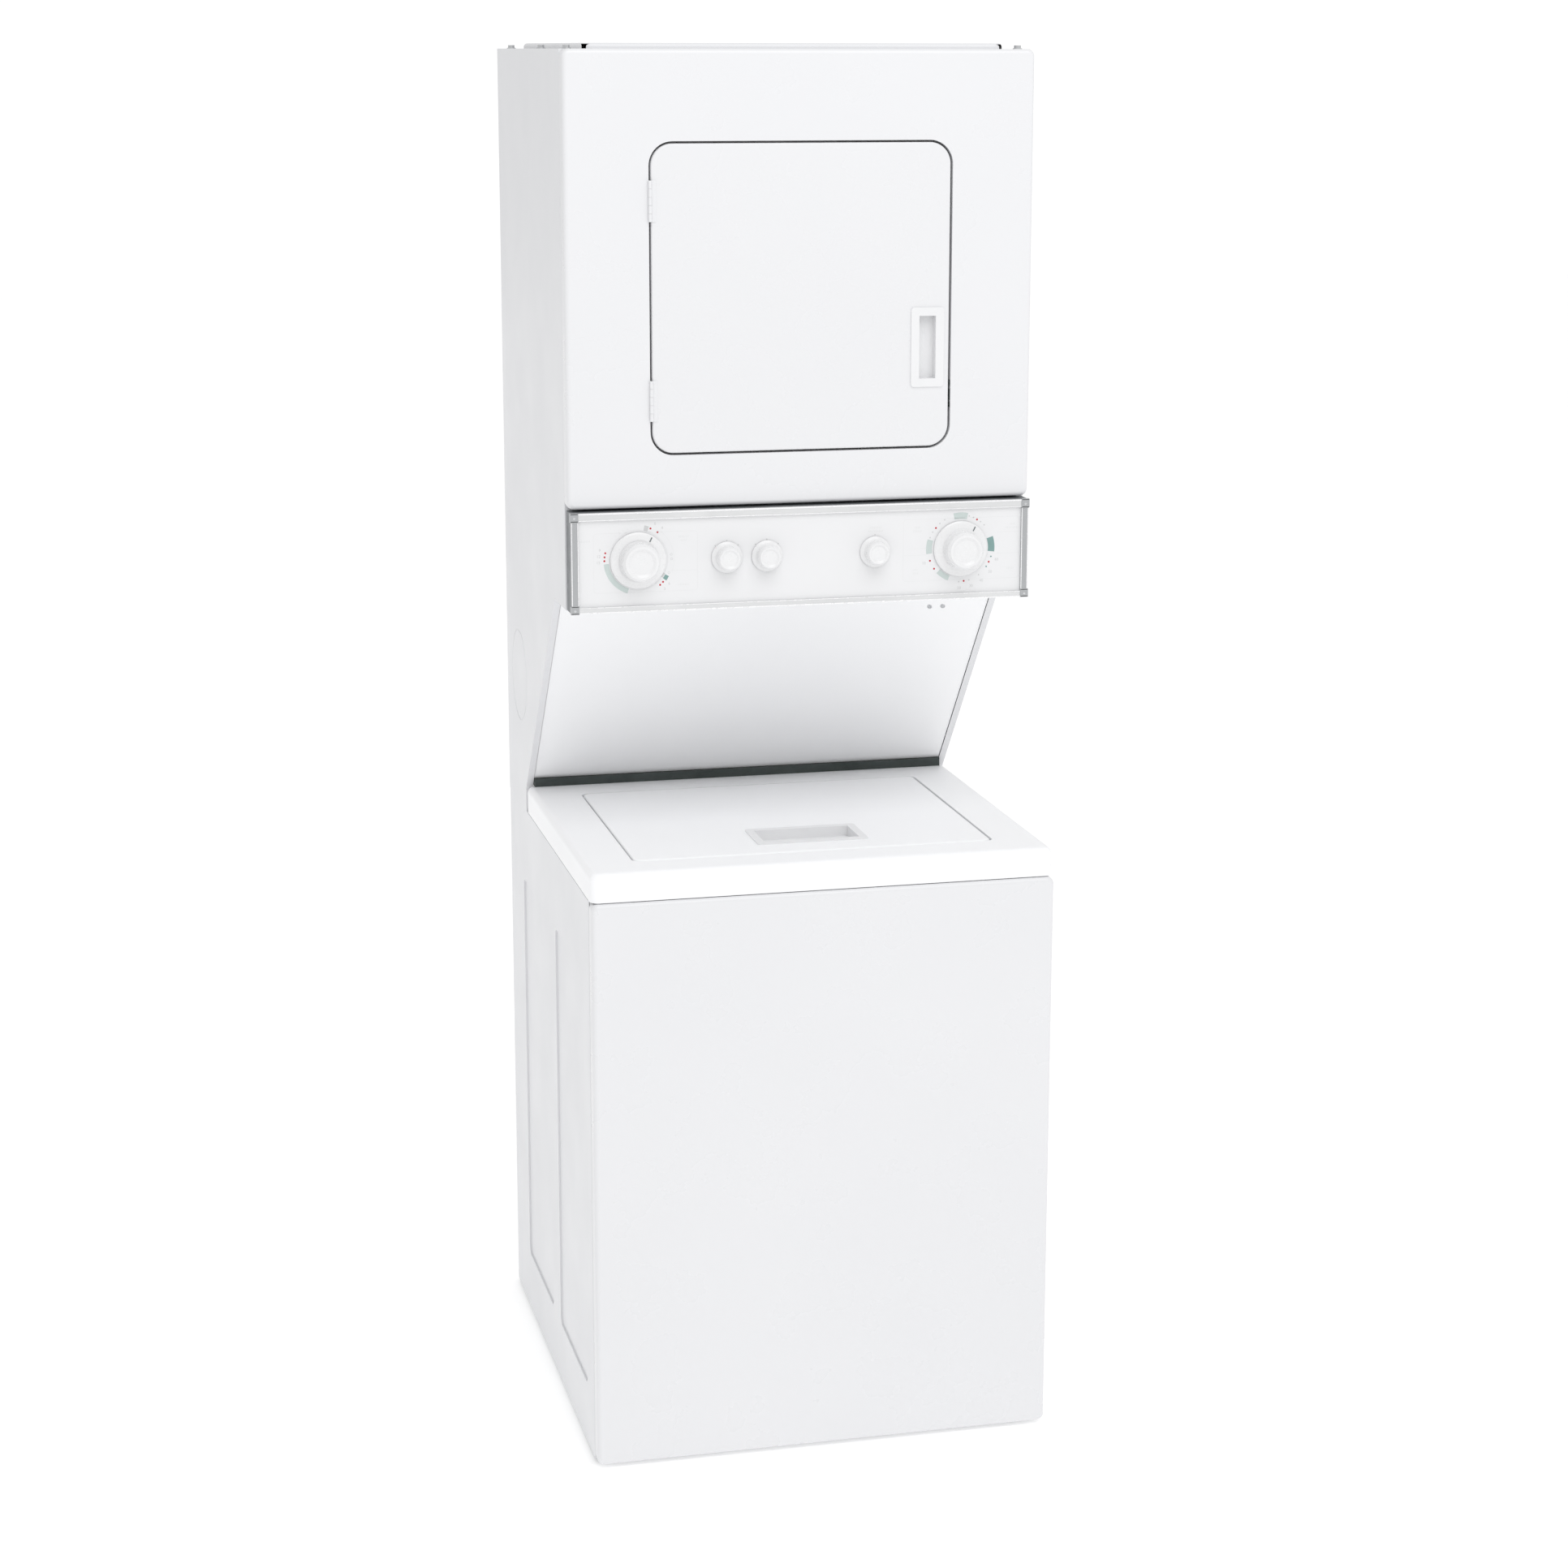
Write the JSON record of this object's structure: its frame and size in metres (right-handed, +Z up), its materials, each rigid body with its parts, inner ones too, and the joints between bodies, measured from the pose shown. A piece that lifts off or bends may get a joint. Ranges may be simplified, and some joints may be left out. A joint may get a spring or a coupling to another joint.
{
  "type": "washer dryer stack",
  "caption": "Full-size laundry centre: a top-loading washer with a front-loading tumble dryer above it on a tapered stand, with a knob-operated control panel between them.",
  "frame": {"origin": "on the floor, in the middle of the width and of the whole depth (front face to exhaust collar tip)", "axes": "+X is the machine's left to right as a person faces it, +Y runs to the rear, +Z up"},
  "size_m": [0.606, 0.7, 1.81],
  "materials": {
    "white_enamel": "baked gloss enamel",
    "white_liner": "smooth porcelain or paint",
    "white_plastic": "moulded, low gloss",
    "panel_plastic": "fine grained face plate",
    "dark_plastic": "moulded, matt",
    "silver_trim": "satin brushed",
    "knob_plastic": "moulded, satin",
    "zinc_steel": "zinc coated sheet",
    "cast_alloy": "cast, dull",
    "motor_enamel": "dull black enamel",
    "black_rubber": "matt"
  },
  "bodies": {
    "cabinet": {"blower_housing": "white_plastic", "control_face": "panel_plastic", "control_housing": "dark_plastic", "cord_gland": "zinc_steel", "door_catch": "zinc_steel", "drain_hoses": "black_rubber", "drain_pump": "dark_plastic", "dryer_back_panel": "zinc_steel", "dryer_belt": "black_rubber", "dryer_front_panel": "white_enamel", "dryer_motor": "motor_enamel", "dryer_side_left": "white_enamel", "dryer_side_right": "white_enamel", "dryer_top": "white_enamel", "exhaust_duct": "zinc_steel", "front_bulkhead": "white_liner", "gearcase": "cast_alloy", "hinge_frame_leaves": "zinc_steel", "hinge_pins": "zinc_steel", "levelling_feet": "black_rubber", "outer_tub": "white_plastic", "panel_trim": "silver_trim", "rear_bulkhead": "zinc_steel", "screws": "zinc_steel", "seal_strip": "black_rubber", "sloped_panel": "white_enamel", "suspension_rods": "zinc_steel", "switch_cases": "dark_plastic", "washer_base": "zinc_steel", "washer_belt": "black_rubber", "washer_cabinet": "white_enamel", "washer_front_panel": "white_enamel", "washer_motor": "motor_enamel", "washer_top": "white_enamel", "water_valve": "dark_plastic"},
    "dryer_door": {"door_outer": "white_enamel", "door_inner": "white_liner", "door_seal": "black_rubber", "door_handle": "white_plastic", "hinge_door_leaves": "zinc_steel"},
    "washer_lid": {"washer_lid": "white_enamel", "lid_handle": "white_plastic"},
    "washer_timer_dial": {"washer_timer_dial": "knob_plastic"},
    "washer_timer_knob": {"washer_timer_knob": "knob_plastic"},
    "dryer_timer_knob": {"dryer_timer_knob": "knob_plastic"},
    "temp_knob": {"temp_knob": "knob_plastic"},
    "load_knob": {"load_knob": "knob_plastic"},
    "start_knob": {"start_knob": "knob_plastic"},
    "lid_switch_plunger": {"lid_switch_plunger": "dark_plastic"},
    "door_switch_plunger": {"door_switch_plunger": "dark_plastic"},
    "lint_filter": {"lint_filter": "dark_plastic"},
    "dryer_drum": {"dryer_drum": "white_liner"},
    "dryer_rotor": {"dryer_motor_shaft": "zinc_steel", "blower_wheel": "dark_plastic"},
    "idler_wheel": {"idler_wheel": "dark_plastic"},
    "wash_basket": {"wash_basket": "white_liner", "balance_ring": "white_plastic"},
    "agitator": {"agitator": "white_plastic"},
    "drive_pulley": {"drive_pulley": "cast_alloy"},
    "washer_motor_pulley": {"washer_motor_pulley": "cast_alloy"}
  },
  "joints": [
    {"name": "dryer_door_hinge", "type": "hinge", "parent": "cabinet", "child": "dryer_door", "pos_m": [-0.19498, -0.2131, 1.496], "axis": [0, 0, -1], "range_deg": [0, 160]},
    {"name": "washer_lid_hinge", "type": "hinge", "parent": "cabinet", "child": "washer_lid", "pos_m": [0, 0.081, 0.79], "axis": [-1, 0, 0], "range_deg": [0, 50]},
    {"name": "washer_timer_dial_turn", "type": "hinge", "parent": "cabinet", "child": "washer_timer_dial", "pos_m": [-0.215, -0.218, 1.17], "axis": [0, 1, 0], "continuous": true},
    {"name": "washer_timer_knob_pull", "type": "slide", "parent": "washer_timer_dial", "child": "washer_timer_knob", "axis": [0, -1, 0], "range_m": [0, 0.006]},
    {"name": "dryer_timer_turn", "type": "hinge", "parent": "cabinet", "child": "dryer_timer_knob", "pos_m": [0.21, -0.218, 1.17], "axis": [0, 1, 0], "continuous": true},
    {"name": "temp_knob_turn", "type": "hinge", "parent": "cabinet", "child": "temp_knob", "pos_m": [-0.1, -0.218, 1.17], "axis": [0, 1, 0], "range_deg": [0, 90]},
    {"name": "load_knob_turn", "type": "hinge", "parent": "cabinet", "child": "load_knob", "pos_m": [-0.0475, -0.218, 1.17], "axis": [0, 1, 0], "range_deg": [0, 90]},
    {"name": "start_knob_turn", "type": "hinge", "parent": "cabinet", "child": "start_knob", "pos_m": [0.0955, -0.218, 1.17], "axis": [0, 1, 0], "range_deg": [0, 35], "stiffness_Nm_per_rad": 0.2},
    {"name": "lid_switch_press", "type": "slide", "parent": "cabinet", "child": "lid_switch_plunger", "axis": [0, 0, 1], "range_m": [-0.004, 0], "stiffness_N_per_m": 150},
    {"name": "door_switch_press", "type": "slide", "parent": "cabinet", "child": "door_switch_plunger", "axis": [0, 1, 0], "range_m": [0, 0.003], "stiffness_N_per_m": 150},
    {"name": "lint_filter_lift", "type": "slide", "parent": "cabinet", "child": "lint_filter", "axis": [0, 0, 1], "range_m": [0, 0.115]},
    {"name": "dryer_drum_spin", "type": "hinge", "parent": "cabinet", "child": "dryer_drum", "pos_m": [0, 0, 1.496], "axis": [0, 1, 0], "continuous": true},
    {"name": "dryer_rotor_spin", "type": "hinge", "parent": "cabinet", "child": "dryer_rotor", "pos_m": [0.06, 0, 1.1], "axis": [0, 1, 0], "continuous": true},
    {"name": "idler_wheel_spin", "type": "hinge", "parent": "cabinet", "child": "idler_wheel", "pos_m": [-0.01495, 0, 1.12188], "axis": [0, 1, 0], "continuous": true},
    {"name": "wash_basket_spin", "type": "hinge", "parent": "cabinet", "child": "wash_basket", "pos_m": [0, -0.058, 0.4], "axis": [0, 0, 1], "continuous": true},
    {"name": "agitator_swing", "type": "hinge", "parent": "wash_basket", "child": "agitator", "pos_m": [0, -0.058, 0.4], "axis": [0, 0, 1], "range_deg": [-90, 90]},
    {"name": "drive_pulley_spin", "type": "hinge", "parent": "cabinet", "child": "drive_pulley", "pos_m": [0, -0.058, 0.093], "axis": [0, 0, 1], "continuous": true},
    {"name": "washer_motor_spin", "type": "hinge", "parent": "cabinet", "child": "washer_motor_pulley", "pos_m": [0.165, 0.102, 0.093], "axis": [0, 0, 1], "continuous": true}
  ],
  "couplings": [
    {"joint": "dryer_rotor_spin", "follows": "dryer_drum_spin", "ratio": 18.929},
    {"joint": "idler_wheel_spin", "follows": "dryer_drum_spin", "ratio": -14.722},
    {"joint": "drive_pulley_spin", "follows": "wash_basket_spin", "ratio": 1},
    {"joint": "washer_motor_spin", "follows": "wash_basket_spin", "ratio": 4.1176}
  ]
}
